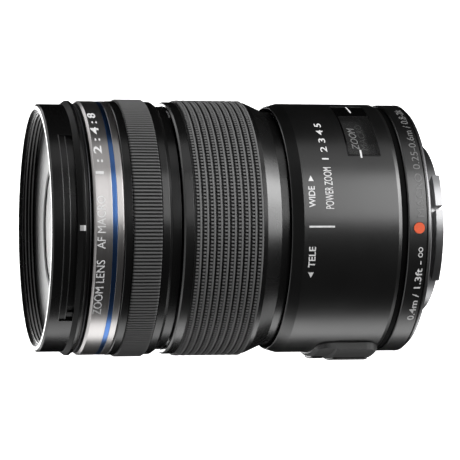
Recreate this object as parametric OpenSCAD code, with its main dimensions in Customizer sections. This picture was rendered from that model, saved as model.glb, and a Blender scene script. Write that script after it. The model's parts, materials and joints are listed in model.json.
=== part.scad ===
// Zoom lens for a mirrorless camera, with a sliding zoom ring and an internal cam barrel.
// Inside the modules z runs along the optical axis: 0 at the mount flange, growing towards the front.
// y points to the index mark and x to the button pod.
// place() lays the axis along -Y with the index mark up, so the origin is the centre of the flange.

/* [Overall] */
// Length from the mount flange to the front rim
lens_len = 83; // [83:0.5:110]
// Outside diameter of the rear barrel
barrel_d = 55.8; // [55:0.1:70]

/* [Fits] */
// Radial gap between tubes that slide or turn on each other
run_fit = 0.1; // [0.05:0.01:0.12]
// Radial gap between pieces that are glued or screwed together
seat_fit = 0.05; // [0.03:0.01:0.1]
// End play between pieces that turn face to face
end_play = 0.1; // [0.08:0.01:0.2]

/* [Bayonet mount] */
// Diameter of the flange edge that shows
flange_d = 54.4; // [52:0.1:55]
// Thickness of the flange edge that shows
flange_edge = 0.7; // [0.5:0.1:1]
// Thickness of the flange where the screws pass
flange_t = 2; // [1.6:0.1:2.2]
// Diameter of the flange part that sinks into the mount base
flange_spigot_d = 52; // [50:0.1:52.4]
// Outside diameter of the bayonet cylinder
bayonet_d = 38; // [36:0.1:39]
// Wall of the bayonet cylinder
bayonet_wall = 1.4; // [1:0.1:2]
// Depth of the bayonet behind the flange
bayonet_depth = 4.6; // [4:0.1:5.5]
// Diameter over the bayonet tabs
tab_d = 41.6; // [40.5:0.1:43]
// Thickness of a bayonet tab
tab_t = 1.6; // [1.2:0.1:2]
// Angle that each of the three tabs spans
tab_sweep = 68; // [40:1:80]
// Width of the relief slit in a tab
tab_slit_w = 1; // [0.6:0.1:1.5]
// Angle of the relief slit from the middle of its tab
tab_slit_at = 12.5; // [5:0.5:20]
// Diameter of the hole for the camera's lock pin
lock_hole_d = 2.6; // [2:0.1:3]
// Diameter of the circle of mount screws
mount_screw_circle = 48.6; // [47:0.1:49.4]
// Number of mount screws
mount_screw_n = 4; // [3:1:6]
// Shank diameter of the screws
screw_d = 1.8; // [1.4:0.1:2]
// Head diameter of the screws
screw_head_d = 2.6; // [2.2:0.1:3]
// Head height of the screws
screw_head_t = 0.9; // [0.6:0.1:1.2]
// Number of electric contacts
contact_n = 11; // [7:1:11]
// Diameter of a contact pin
contact_d = 1.2; // [0.8:0.1:1.3]
// Angle between contact pins
contact_step = 6.4; // [5.5:0.1:7]

/* [Mount base] */
// Length of the base ring ahead of the flange edge
base_len = 4.7; // [4:0.1:7]
// How far the base ring lies below the barrel surface
base_below = 0.1; // [0:0.05:0.3]
// Width of the joint groove that the seal fills
seal_w = 1.4; // [1:0.1:2]
// How far the seal lies below the barrel surface
seal_below = 0.65; // [0.4:0.05:0.8]
// Length of the base spigot inside the barrel
spigot_len = 1.7; // [1.2:0.1:2.5]
// Diameter of the mounting dot
dot_d = 2.4; // [1.5:0.1:3]
// How far the dot stands proud
dot_proud = 0.15; // [0.05:0.05:0.3]

/* [Rear barrel] */
// Length of the barrel shell
barrel_len = 24.35; // [22:0.05:30]
// Wall of the barrel shell
barrel_wall = 0.95; // [0.8:0.05:1]
// Length of the bevel at the barrel mouth
mouth_bevel = 2.5; // [1.5:0.1:3]
// Width of the small bright lip at the barrel mouth
mouth_lip = 0.15; // [0.1:0.05:0.25]
// Rear edge of the mode window ahead of the barrel's rear edge
window_from = 3.6; // [3:0.1:5]
// Length of the mode window along the axis
window_len = 7.4; // [6:0.1:8]
// Angle from the index mark to the near end of the mode window
window_a0 = 34; // [25:1:45]
// Angle that the mode window spans
window_sweep = 42; // [25:1:50]
// Flange of the window insert behind the shell
window_flange = 0.6; // [0.4:0.1:0.8]

/* [Buttons] */
// Angle that the button pod spans
pod_sweep = 48; // [40:1:52]
// Rear edge of the pod ahead of the barrel's rear edge
pod_from = 0.5; // [0.3:0.1:1]
// Length of the high part of the pod
pod_len = 10.2; // [9.5:0.1:12]
// Height of the high part of the pod
pod_rise = 1.5; // [1.2:0.1:2]
// Length of the low step ahead of it
step_len = 4.2; // [3.8:0.1:5]
// Height of the low step
step_rise = 1.1; // [0.9:0.1:1.3]
// Length of the function button along the axis
fn_len = 8.2; // [6:0.1:9]
// Width of the function button
fn_w = 10; // [8:0.1:12]
// Travel of the function button
fn_travel = 0.5; // [0.3:0.1:0.5]
// Length of the macro release button along the axis
macro_len = 2.8; // [2:0.1:3.2]
// Width of the macro release button
macro_w = 7; // [5:0.1:9]
// Travel of the macro release button
macro_travel = 0.4; // [0.2:0.1:0.4]
// Radius of the pod's corners
pod_corner = 3; // [1.5:0.1:4]
// Radius of a button's corners
button_corner = 0.8; // [0.4:0.1:1.2]
// Gap round a button
button_gap = 0.15; // [0.1:0.05:0.25]
// How far a button stands above its pod
button_proud = 0.4; // [0.2:0.05:0.5]

/* [Zoom ring] */
// Wall from the barrel surface in to the sliding sleeve
zoom_wall = 2.5; // [2.4:0.05:3]
// How far the skirt reaches into the barrel mouth
skirt_in = 0.15; // [0.1:0.05:0.5]
// Length of the straight skirt
skirt_len = 2.2; // [1.9:0.1:2.6]
// How far the skirt lies below the barrel surface
skirt_below = 1.8; // [1.6:0.05:1.9]
// Length of the cone between skirt and grip
cone_len = 3.4; // [2.8:0.1:4]
// Drop of the cone along its length
cone_drop = 1.5; // [1.2:0.05:1.6]
// Length of the straight land between cone and grip
cone_land = 1; // [0.6:0.1:1.5]
// Length of the smooth lip ahead of the grip
lip_len = 2.15; // [2:0.05:3]
// Wall of the lip
lip_wall = 0.95; // [0.8:0.05:1]
// Travel of the zoom ring to either side of its middle position
mode_travel = 1.8; // [1:0.1:1.9]
// Turn of the zoom ring to either side of its middle position
zoom_turn = 40; // [25:1:42]
// Thickness of the rubber grips under their teeth
grip_t = 0.3; // [0.25:0.05:0.35]
// How far the zoom grip stands above the barrel
zoom_proud = 0.53; // [0.4:0.01:0.8]
// Pitch of the toothed bands along the axis
band_pitch = 1.51; // [1.2:0.01:2]
// Length of the plain rib at the rear of each band
band_rib = 0.42; // [0.3:0.02:0.6]
// Length of the row of teeth ahead of the rib
band_teeth = 0.62; // [0.4:0.02:0.8]
// Number of teeth round each band
tooth_n = 114; // [60:2:120]

/* [Focus ring] */
// Length of the focus ring
focus_len = 10.4; // [9:0.1:14]
// Length of the smooth front edge of the focus ring
focus_front = 1.8; // [1:0.1:3]
// Length of the smooth rear edge of the focus ring
focus_back = 2.3; // [1.5:0.1:3]
// Wall from the barrel surface in to the focus ring's bore
focus_wall = 1.2; // [1.1:0.05:1.3]
// How far the focus grip stands above the barrel
focus_proud = 0.6; // [0.4:0.01:0.8]
// Number of ridges round the focus grip
ridge_n = 228; // [120:4:240]
// Height of a ridge
ridge_h = 0.3; // [0.2:0.05:0.4]
// Length of the stop flange behind the focus ring
stop_t = 1.9; // [1.5:0.1:2.5]

/* [Front] */
// Length of the silver front ring
name_len = 6.8; // [5:0.1:9]
// Wall of the silver front ring
name_wall = 1.4; // [1.2:0.1:1.5]
// Length of the bevel on the silver ring's front edge
name_bevel = 0.8; // [0.4:0.1:1.2]
// Width of the stripe ring
stripe_w = 1.05; // [0.6:0.05:2]
// Distance of the stripe ring from the silver ring's rear edge
stripe_at = 1.5; // [1:0.1:2]
// Depth of the stripe ring
stripe_t = 0.4; // [0.2:0.05:0.5]
// Gap between silver ring and front collar
collar_gap = 0.6; // [0.3:0.1:1]
// Length of the front collar
collar_len = 7.9; // [7.5:0.1:10]
// How far the collar lies below the barrel surface
collar_below = 0.6; // [0.5:0.05:0.8]
// How far the collar's rear lip stands above the collar
collar_lip = 0.8; // [0.5:0.1:1]
// Bevel on the front rim
rim_bevel = 0.4; // [0.2:0.1:0.5]
// Thread diameter for filters
filter_d = 52; // [50:0.5:52.5]
// Depth of the filter thread
filter_depth = 3.6; // [3:0.1:4]
// Height of the filter thread
filter_thread = 0.35; // [0.3:0.05:0.45]
// Angle that each hood recess spans
hood_sweep = 93; // [60:1:110]
// Depth of the hood recess
hood_depth = 0.6; // [0.4:0.05:0.7]

/* [Tubes] */
// Wall of the sliding sleeve
sleeve_wall = 0.6; // [0.5:0.05:0.8]
// Wall of the main tube
main_wall = 0.7; // [0.6:0.05:0.9]
// Wall of the cam barrel
cam_wall = 1; // [0.8:0.05:1.2]
// Wall of the guide tube
guide_wall = 0.9; // [0.7:0.05:1.1]
// Thickness of the guide tube's front flange
guide_flange_t = 1.4; // [1:0.1:2]

/* [Zoom groups] */
// Travel of the variator group to either side
variator_travel = 6; // [4:0.1:6.5]
// Travel of the relay group to either side
relay_travel = 4; // [3:0.1:4.2]
// Diameter of the cam follower pins
follower_d = 2; // [1.6:0.1:2.2]
// Gap between a follower pin and its slots
follower_fit = 0.12; // [0.1:0.01:0.2]
// Length of the variator frame
variator_len = 7; // [6:0.1:7.5]
// Length of the relay frame
relay_len = 7; // [6:0.1:7.5]
// Diameter of the pins that join zoom ring and cam barrel
key_d = 2; // [1.5:0.1:2.4]

/* [Iris] */
// Number of iris blades
blade_n = 7; // [5:1:9]
// Radius of the open iris
iris_open_r = 9.2; // [8.8:0.1:10]
// Width of a blade
blade_w = 3.7; // [3:0.1:3.8]
// Angle that a blade spans
blade_sweep = 80; // [60:1:95]
// Thickness of a blade
blade_t = 0.1; // [0.08:0.01:0.12]
// Height of one blade level
blade_level = 0.18; // [0.16:0.01:0.2]
// Radius of the circle of blade pivots
pivot_r = 14; // [13.6:0.1:14.5]
// Diameter of a blade pivot
pivot_d = 0.8; // [0.6:0.05:0.9]
// Length of a blade's tail from pivot to drive pin
tail_len = 4; // [3:0.1:4.4]
// Turn of a blade from open to closed
blade_turn = 25; // [15:1:26]

/* [Drives] */
// Module of the zoom gears
gear_m = 0.4; // [0.3:0.05:0.4]
// Teeth on the zoom pinion
pinion_n = 12; // [10:1:14]
// Diameter of the zoom motor
zoom_motor_d = 7; // [6:0.1:7.2]
// Angle of the zoom motor from the button pod
zoom_motor_at = 250; // [230:1:290]
// Diameter of the focus motor
focus_motor_d = 6; // [5:0.1:6.4]
// Length of the focus motor
focus_motor_len = 5.2; // [4:0.1:5.4]
// Angle of the focus motor from the button pod
focus_motor_at = 130; // [110:1:150]
// Distance of the lead screw from the optical axis
lead_screw_r = 15; // [14.5:0.1:16]
// Diameter of the lead screw
lead_screw_d = 1.6; // [1.2:0.1:2]
// Distance of the guide rods from the optical axis
rod_r = 14.5; // [14:0.1:16]
// Diameter of the guide rods
rod_d = 1.6; // [1.2:0.1:2]
// Travel of the focus group to either side
focus_travel = 1.5; // [0.5:0.1:1.6]

/* [Glass] */
// Diameter of the front glass
front_glass_d = 27; // [24:0.5:30]
// Diameter of the second glass
second_glass_d = 24; // [20:0.5:24.5]
// Diameter of the variator glass
variator_glass_d = 24; // [18:0.5:26]
// Diameter of the relay glass
relay_glass_d = 17; // [14:0.5:18]
// Diameter of the focus glass
focus_glass_d = 18; // [14:0.5:18.5]
// Diameter of the rear glass
rear_glass_d = 20; // [16:0.5:21]

/* [Hidden] */
$fn = 96;

// Steps round the circles that toothed sleeves lie on
fine = 480;
// How far a cutting shape passes the piece it cuts
cut = 1;
// How deep shapes of one piece sink into each other
sink = 0.1;
// Bevel on small outer edges
edge = 0.2;
// Free room past each end of a travel
spare = 0.2;

// Outer radii
barrel_r = barrel_d / 2;
bore_r = barrel_r - barrel_wall;
base_r = barrel_r - base_below;
collar_r = barrel_r - collar_below;
lip_r = barrel_r + base_below;
name_proud = 0.15;
name_r = barrel_r + name_proud;
zoom_grip_r = barrel_r + zoom_proud;
focus_grip_r = barrel_r + focus_proud;
skirt_r = barrel_r - skirt_below;
pod_r = barrel_r + pod_rise;
step_r = barrel_r + step_rise;
zoom_seat_r = zoom_grip_r - grip_t - ridge_h - seat_fit;
focus_seat_r = focus_grip_r - grip_t - ridge_h - seat_fit;

// Tubes from the zoom ring inwards
zoom_in_r = barrel_r - zoom_wall;
sleeve_r = zoom_in_r - run_fit;
sleeve_in_r = sleeve_r - sleeve_wall;
main_r = sleeve_in_r - run_fit;
main_in_r = main_r - main_wall;
cam_r = main_in_r - run_fit;
cam_in_r = cam_r - cam_wall;
guide_r = cam_in_r - run_fit;
guide_in_r = guide_r - guide_wall;
group_r = guide_in_r - run_fit;
inner_r = main_in_r - seat_fit;

// Places along the axis, from the flange to the front rim
base_z0 = flange_edge;
base_z1 = base_z0 + base_len;
barrel_z0 = base_z1 + seal_w;
barrel_z1 = barrel_z0 + barrel_len;
spigot_z1 = barrel_z0 + spigot_len;
zoom_z0 = barrel_z1 - skirt_in;
rim_z = lens_len;
collar_z0 = rim_z - collar_len;
name_z1 = collar_z0 - collar_gap;
name_z0 = name_z1 - name_len;
focus_z1 = name_z0 - end_play;
focus_z0 = focus_z1 - focus_len;
stop_z1 = focus_z0 - end_play;
stop_z0 = stop_z1 - stop_t;
lip_under = 0.35;
zoom_z1 = stop_z0 - lip_under;
zoom_grip_z1 = zoom_z1 - lip_len;
zoom_grip_z0 = zoom_z0 + skirt_len + cone_len + cone_land;
pocket_depth = 0.9;
pocket_z0 = zoom_grip_z1 - pocket_depth;
focus_grip_z0 = focus_z0 + focus_back;
focus_grip_z1 = focus_z1 - focus_front;

// Base ring and chassis
screw_wall = 1.4;
base_floor_t = 1;
base_in_r = mount_screw_circle / 2 - screw_wall;
base_floor_in_r = base_in_r - base_floor_t;
base_floor_z1 = flange_t + base_floor_t;
spigot_fit = 0.15;
barrel_seat_r = bore_r - spigot_fit;
dot_seat = 0.5;
dot_z = base_z0 + base_len / 2;
main_flange_t = 1.4;
window_flange_t = 0.4;
window_sunk = 0.12;
window_out_r = bore_r - seat_fit;
window_in_r = window_out_r - window_flange_t;
main_flange_r = window_in_r - seat_fit;
main_lap = 1;
main_z1 = collar_z0 + main_lap;
journal_r = barrel_r - focus_wall - run_fit;
stop_r = lip_r - lip_wall - run_fit;
nose_wall = 1.4;
nose_r = main_r + nose_wall;
thread_z0 = rim_z - filter_depth;
retainer_t = 0.8;
retainer_z1 = thread_z0 - spare;
retainer_z0 = retainer_z1 - retainer_t;
retainer_step = 0.6;
retainer_r = filter_d / 2 - filter_thread - retainer_step;
cell_z1 = retainer_z0 - end_play;
nose_z1 = cell_z1 - 0.4;

// Rear end: pod, buttons, window and screws
pod_z0 = barrel_z0 + pod_from;
pod_z1 = pod_z0 + pod_len;
step_z1 = pod_z1 + step_len;
fn_z0 = pod_z0 + (pod_len - fn_len) / 2;
macro_z0 = pod_z1 + (step_len - macro_len) / 2;
pod_w = 2 * step_r * sin(pod_sweep / 2);
window_z0 = barrel_z0 + window_from;
window_z1 = window_z0 + window_len;
window_at = 90 + window_a0;
mount_screw_at = 45;
mount_screw_step = 360 / mount_screw_n;
chassis_screw_n = 3;
chassis_screw_r = (base_in_r + barrel_seat_r) / 2 + 0.3;
chassis_screw_at = 100;
chassis_head_d = screw_head_d * 0.85;
chassis_head_t = 0.6;
baffle_t = 0.8;
baffle_z0 = 0.6 - bayonet_depth;
baffle_r = bayonet_d / 2 - bayonet_wall - seat_fit;
contact_block_t = 0.4;
contact_block_w = 2.4;
contact_r = baffle_r - 1.9;
contact_at = 270;
contact_block_sweep = contact_step * contact_n + 6;

// Sliding sleeve under the zoom ring
sleeve_key_d = 2;
sleeve_key_at = 60;
sleeve_z0 = spigot_z1 + main_flange_t + mode_travel + 0.3;
sleeve_z1 = zoom_grip_z1;
sleeve_flange_t = sleeve_z1 - pocket_z0 - end_play;
sleeve_flange_r = stop_r - 0.35;
sleeve_key_z = sleeve_z0 + 8;

// Front end
hood_z0 = collar_z0 + 2.4;
hood_z1 = rim_z - 2.5;
hood_step_z = (hood_z0 + hood_z1) / 2;
hood_notch_at = 40.5;
hood_notch_sweep = 3.2;
front_bore_r = front_glass_d / 2 + seat_fit;
second_bore_r = second_glass_d / 2 + seat_fit;
cell_len = 15.9;
cell_z0 = cell_z1 - cell_len;
cell_floor_t = 0.8;
glass_seat_z = cell_z1 - 4.5;
second_glass_z = cell_z0 + 3 * cell_floor_t;

// Inner stack, from the rear frame to the front cell
frame_t = 2;
frame_z0 = base_floor_z1;
frame_z1 = frame_z0 + frame_t;
plate_t = 1.4;
plate_z0 = frame_z1 + 13;
plate_z1 = plate_z0 + plate_t;
cam_z0 = plate_z1 + spare;
gear_len = 2.4;
guide_z0 = cam_z0 + gear_len + spare;
guide_z1 = cell_z0;
guide_flange_z0 = guide_z1 - guide_flange_t;
cam_z1 = guide_flange_z0 - spare;

// Zoom groups: the variator goes back and the relay forward as the ring turns
variator_z = guide_flange_z0 - 0.5 - variator_travel - variator_len / 2;
relay_z = guide_z0 + 0.8 + relay_travel + relay_len / 2;
zoom_turn_rad = zoom_turn * PI / 180;
variator_rate = -variator_travel / zoom_turn_rad;
relay_rate = relay_travel / zoom_turn_rad;
variator_angles = [30, 150, 270];
relay_angles = [90, 210, 330];
key_angles = [0, 180];
key_z = (variator_z - variator_travel + relay_z + relay_travel) / 2;
key_reach = 0.9;
key_tip_r = zoom_in_r + key_reach;
key_slot_r = key_tip_r + 0.15;
key_slot_z0 = key_z - key_d / 2 - mode_travel - spare;
key_slot_h = key_d + 2 * mode_travel + 2 * spare;
key_arc_h = key_d / 2 + 2 * run_fit;

// Iris, stacked on the front of the relay frame
iris_base_t = 0.6;
iris_z0 = relay_z + relay_len / 2;
blade_z0 = iris_z0 + iris_base_t + 0.1;
iris_ring_z0 = blade_z0 + blade_n * blade_level + 0.05;
iris_ring_t = 0.65;
iris_ring_w = 1.3;
drive_r = pivot_r + tail_len;
drive_pin_d = 0.6;
drive_slot_fit = 0.12;
closed_r = norm([pivot_r + tail_len * cos(blade_turn), tail_len * sin(blade_turn)]);
drive_slot_r0 = closed_r - drive_pin_d / 2 - drive_slot_fit;
drive_slot_r1 = drive_r + drive_pin_d / 2 + drive_slot_fit;
iris_outer_r = drive_r + 2;

// Zoom gears: a toothed sector inside the cam barrel and a pinion that runs in it
sector_n = floor(2 * (cam_in_r - gear_m) / gear_m + 0.01);
sector_r = sector_n * gear_m / 2;
pinion_r = pinion_n * gear_m / 2;
pinion_at_r = sector_r - pinion_r;
tooth_half = 0.2 * PI * gear_m;
addendum = 0.8 * gear_m;
sector_tip_r = sector_r - addendum;
gear_relief_r = cam_in_r + 0.2;
gear_inset = 0.2;
shaft_d = 1.4;
root_gap = 0.12;

// Glass: bulge radius in front, hollow radius behind, thickness
front_bulge = 50;
front_hollow = 24;
second_bulge = 28;
second_t = 6;
variator_bulge = 40;
variator_hollow = 22;
variator_t = 4.6;
relay_bulge = 18;
relay_t = 5.2;
focus_bulge = 30;
focus_t = 3.6;
rear_bulge = 26;
rear_reach = 2.2;

// Lens frames
ledge = 1;
ledge_t = 0.6;
frame_rim_t = 1.5;
frame_seat_z = 2 * ledge_t;
pin_depth = 1.4;

// Focus group
focus_len_z = 4.5;
focus_arm_t = 1.9;
motor_boss = 0.3;
focus_motor_z1 = frame_z1 + focus_motor_len + motor_boss;
focus_arm_z0 = focus_motor_z1 + 0.6 + focus_travel;
focus_cell_z0 = focus_arm_z0 + focus_arm_t - focus_len_z;
focus_hub_r = focus_glass_d / 2 + 1.5;
rod_angles = [30, 210];
rod_hole_fit = 0.04;
plate_gap = 0.5;

blade_names = [for (i = [1:blade_n]) str("iris_blade_", i)];

// Lays the optical axis along -Y, index mark up
module place() {
    rotate([90, 0, 0]) children();
}

// Turned piece with a profile of [radius, z] points
module turned(points) {
    rotate_extrude() polygon(points);
}

// Plain ring between two radii and two places on the axis
module ring(r_in, r_out, z0, z1) {
    rotate_extrude() translate([r_in, z0]) square([r_out - r_in, z1 - z0]);
}

// Part of a ring, from angle a0 over a sweep
module arc_ring(r_in, r_out, z0, z1, a0, sweep) {
    rotate([0, 0, a0]) rotate_extrude(angle = sweep)
        translate([r_in, z0]) square([r_out - r_in, z1 - z0]);
}

// Pin that points outwards from the axis
module radial_pin(d, r0, r1, z, a) {
    rotate([0, 0, a]) translate([r0, 0, z]) rotate([0, 90, 0]) cylinder(d = d, h = r1 - r0, $fn = 32);
}

// Rod along the axis at radius r and angle a
module axial_pin(d, r, a, z0, z1) {
    rotate([0, 0, a]) translate([r, 0, z0]) cylinder(d = d, h = z1 - z0, $fn = 32);
}

// Round glass with a bulged front and a hollow or bulged rear; a radius of 0 is flat
module glass(d, z_rear, z_front, front_r, rear_hollow_r) {
    rim = 1.5;
    difference() {
        intersection() {
            translate([0, 0, z_rear]) cylinder(d = d, h = z_front - z_rear);
            translate([0, 0, z_front - front_r]) sphere(r = front_r);
        }
        if (rear_hollow_r > 0)
            translate([0, 0, z_rear + sag(rear_hollow_r, d / 2 - rim) - rear_hollow_r])
                sphere(r = rear_hollow_r);
    }
}

// Height of a ball's cap over a circle of radius c
function sag(r, c) = r - sqrt(r * r - c * c);

// Milled slot of the cam barrel that moves a follower along the axis by rate mm for each radian.
// It runs in short straight cuts, and a round cut ends it on both sides.
module cam_slot(rate, z, a) {
    w = follower_d + 2 * follower_fit;
    steps = 8;
    step_a = 2 * zoom_turn / steps;
    mid_r = (cam_r + cam_in_r) / 2;
    rise = rate * step_a * PI / 180;
    cut_len = norm([mid_r * step_a * PI / 180, rise]) + sink;
    for (i = [0:steps - 1])
        rotate([0, 0, a - zoom_turn + step_a * (i + 0.5)])
            translate([mid_r, 0, z - rise * (i + 0.5 - steps / 2)])
                rotate([-atan(rate / mid_r), 0, 0])
                    cube([cam_wall + 2 * cut, cut_len, w], center = true);
    for (end = [-1, 1])
        radial_pin(w, cam_in_r - cut, cam_r + cut, z - end * rise * steps / 2, a + end * zoom_turn);
}

// Outline of a rounded rectangle: width across, from z0 to z1, each corner in short straight cuts
function rounded(w, z0, z1, r) = let (steps = 6) [
    for (c = [[1, z1 - r], [-1, z1 - r], [-1, z0 + r], [1, z0 + r]], k = [0:steps])
        let (i = c[1] > (z0 + z1) / 2 ? (1 - c[0]) / 2 : (5 + c[0]) / 2, a = 90 * (i + k / steps))
            [c[0] * (w / 2 - r) + r * cos(a), c[1] + r * sin(a)]];

// Block with rounded corners that points along x, as wide as a button or its pod
module button_box(w, z0, z1, corner, gap) {
    translate([barrel_r / 2, 0, 0]) rotate([90, 0, 90])
        linear_extrude(barrel_r / 2 + pod_rise + button_proud + cut)
            polygon(rounded(w + 2 * gap, z0 - gap, z1 + gap, corner + gap));
}

// Mount end

module bayonet_mount() {
    r_in = bayonet_d / 2 - bayonet_wall;
    lock_hole_at = -20;
    lock_hole_in = 0.5;
    color("gainsboro") place() difference() {
        union() {
            turned([[r_in, -bayonet_depth], [bayonet_d / 2, -bayonet_depth], [bayonet_d / 2, 0],
                [flange_d / 2 - edge, 0], [flange_d / 2, edge], [flange_d / 2, flange_edge],
                [flange_spigot_d / 2, flange_edge], [flange_spigot_d / 2, flange_t], [r_in, flange_t]]);
            for (i = [0:2])
                arc_ring(bayonet_d / 2 - bayonet_wall / 2, tab_d / 2, -bayonet_depth, tab_t - bayonet_depth,
                    90 - tab_sweep / 2 + 120 * i, tab_sweep);
        }
        rotate([0, 0, 90 + tab_slit_at])
            translate([r_in + bayonet_wall / 2, -tab_slit_w / 2, -bayonet_depth - cut])
                cube([tab_d / 2, tab_slit_w, tab_t + cut]);
        axial_pin(lock_hole_d, mount_screw_circle / 2 - lock_hole_in, lock_hole_at, -cut, flange_t + cut);
        for (i = [0:mount_screw_n - 1])
            mount_screw(i, seat_fit);
    }
}

// One mount screw, or the hole it passes through when grown by a gap
module mount_screw(i, gap) {
    a = mount_screw_at + mount_screw_step * i;
    axial_pin(screw_head_d + 2 * gap, mount_screw_circle / 2, a, -gap, screw_head_t + gap);
    axial_pin(screw_d + 2 * gap, mount_screw_circle / 2, a, screw_head_t, base_z1 + gap);
}

module mount_screws() {
    slot_w = 0.4;
    slot_depth = 0.4;
    color("silver") place() for (i = [0:mount_screw_n - 1])
        difference() {
            mount_screw(i, 0);
            rotate([0, 0, mount_screw_at + mount_screw_step * i])
                for (turn = [0, 90])
                    translate([mount_screw_circle / 2, 0, 0]) rotate([0, 0, turn])
                        cube([screw_head_d * 0.6, slot_w, 2 * slot_depth], center = true);
        }
}

module rear_baffle() {
    wall = 0.9;
    rim_z1 = 0.8;
    opening = [15, 11.6];
    color("dimgray") place() difference() {
        union() {
            ring(0, baffle_r, baffle_z0, baffle_z0 + baffle_t);
            ring(baffle_r - wall, baffle_r, baffle_z0, rim_z1);
        }
        translate([-opening[0] / 2, -opening[1] / 2, baffle_z0 - cut])
            cube([opening[0], opening[1], baffle_t + 2 * cut]);
    }
}

module contact_block() {
    color("black") place() difference() {
        arc_ring(contact_r - contact_block_w / 2, contact_r + contact_block_w / 2,
            baffle_z0 - contact_block_t, baffle_z0,
            contact_at - contact_block_sweep / 2, contact_block_sweep);
        for (i = [0:contact_n - 1])
            axial_pin(contact_d + 2 * seat_fit, contact_r, contact_angle(i),
                baffle_z0 - contact_block_t - cut, baffle_z0 + cut);
    }
}

function contact_angle(i) = contact_at + contact_step * (i - (contact_n - 1) / 2);

module contact_pins() {
    proud = 0.15;
    color("gold") place() for (i = [0:contact_n - 1])
        axial_pin(contact_d, contact_r, contact_angle(i), baffle_z0 - contact_block_t - proud, baffle_z0);
}

module mount_base() {
    flange_seat_r = flange_spigot_d / 2 + seat_fit;
    color("#26272a") place() difference() {
        turned([[flange_seat_r, base_z0], [base_r - edge, base_z0], [base_r, base_z0 + edge],
            [base_r, base_z1 - edge], [base_r - edge, base_z1], [barrel_seat_r, base_z1],
            [barrel_seat_r, spigot_z1], [base_in_r, spigot_z1], [base_in_r, base_floor_z1],
            [base_floor_in_r, base_floor_z1], [base_floor_in_r, flange_t], [flange_seat_r, flange_t]]);
        for (i = [0:mount_screw_n - 1])
            mount_screw(i, seat_fit);
        for (i = [0:chassis_screw_n - 1])
            chassis_screw(i, seat_fit);
        radial_pin(dot_d + 2 * seat_fit, base_r - dot_seat, base_r + cut, dot_z, 90);
    }
}

module mount_dot() {
    color("orangered") place() radial_pin(dot_d, base_r - dot_seat, base_r + dot_proud, dot_z, 90);
}

module barrel_seal() {
    color("black") place() ring(barrel_seat_r + seat_fit, barrel_r - seal_below, base_z1, barrel_z0);
}

// Rear barrel

module rear_barrel() {
    rear_bevel = [0.3, 0.8];
    mouth_r = bore_r + sink;
    color("#2b2c2f") place() difference() {
        turned([[bore_r, barrel_z0], [barrel_r - rear_bevel[0], barrel_z0],
            [barrel_r, barrel_z0 + rear_bevel[1]], [barrel_r, barrel_z1 - mouth_bevel],
            [mouth_r + mouth_lip, barrel_z1 - mouth_lip], [mouth_r, barrel_z1], [bore_r, barrel_z1]]);
        arc_ring(bore_r - cut, barrel_r + cut, window_z0, window_z1, window_at, window_sweep);
    }
}

module mode_window() {
    gap_a = seat_fit / barrel_r * 180 / PI;
    flange_a = window_flange / barrel_r * 180 / PI;
    color("#3a3b3e") place() union() {
        arc_ring(window_in_r, barrel_r - window_sunk, window_z0 + seat_fit, window_z1 - seat_fit,
            window_at + gap_a, window_sweep - 2 * gap_a);
        arc_ring(window_in_r, window_out_r, window_z0 - window_flange, window_z1 + window_flange,
            window_at - flange_a, window_sweep + 2 * flange_a);
    }
}

// One level of the pod, bevelled at both ends
module pod_level(r, z0, z1, rear_bevel, front_bevel) {
    seat_r = barrel_r + seat_fit;
    rotate([0, 0, -pod_sweep]) rotate_extrude(angle = 2 * pod_sweep)
        polygon([[seat_r, z0], [r - rear_bevel, z0], [r, z0 + rear_bevel], [r, z1 - front_bevel],
            [r - front_bevel, z1], [seat_r, z1]]);
}

module button_pod() {
    end_bevel = 0.7;
    color("#303134") place() difference() {
        intersection() {
            union() {
                pod_level(pod_r, pod_z0, pod_z1, end_bevel, 2 * edge);
                pod_level(step_r, pod_z0 + end_bevel, step_z1, end_bevel, end_bevel);
            }
            button_box(pod_w, pod_z0, step_z1, pod_corner, 0);
        }
        button_box(fn_w, fn_z0, fn_z0 + fn_len, button_corner, button_gap);
        button_box(macro_w, macro_z0, macro_z0 + macro_len, button_corner, button_gap);
    }
}

// Button with a curved top; it stops a little above the barrel when pressed
module button_cap(w, z0, z1, top_r, travel) {
    rest_gap = 0.12;
    foot_r = barrel_r + travel + rest_gap;
    intersection() {
        button_box(w, z0, z1, button_corner, 0);
        turned([[foot_r, z0], [top_r - edge, z0], [top_r, z0 + edge], [top_r, z1 - edge],
            [top_r - edge, z1], [foot_r, z1]]);
    }
}

module function_button() {
    color("#1f2022") place()
        button_cap(fn_w, fn_z0, fn_z0 + fn_len, pod_r + button_proud, fn_travel);
}

module macro_button() {
    color("#1f2022") place()
        button_cap(macro_w, macro_z0, macro_z0 + macro_len, step_r + button_proud, macro_travel);
}

// Chassis tubes

// One chassis screw, or the hole it passes through when grown by a gap
module chassis_screw(i, gap) {
    a = chassis_screw_at + 360 / chassis_screw_n * i;
    top_z = spigot_z1 + main_flange_t;
    head_z = top_z - chassis_head_t;
    axial_pin(screw_d + 2 * gap, chassis_screw_r, a, base_floor_z1 - gap, head_z);
    axial_pin(chassis_head_d + 2 * gap, chassis_screw_r, a, head_z - gap, top_z + gap);
}

module chassis_screws() {
    color("silver") place() for (i = [0:chassis_screw_n - 1])
        chassis_screw(i, 0);
}

// Half angle of the slot that lets a zoom key turn, in a wall at radius r
function key_arc(r) = zoom_turn + (key_d / 2 + run_fit + spare) / r * 180 / PI;

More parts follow.
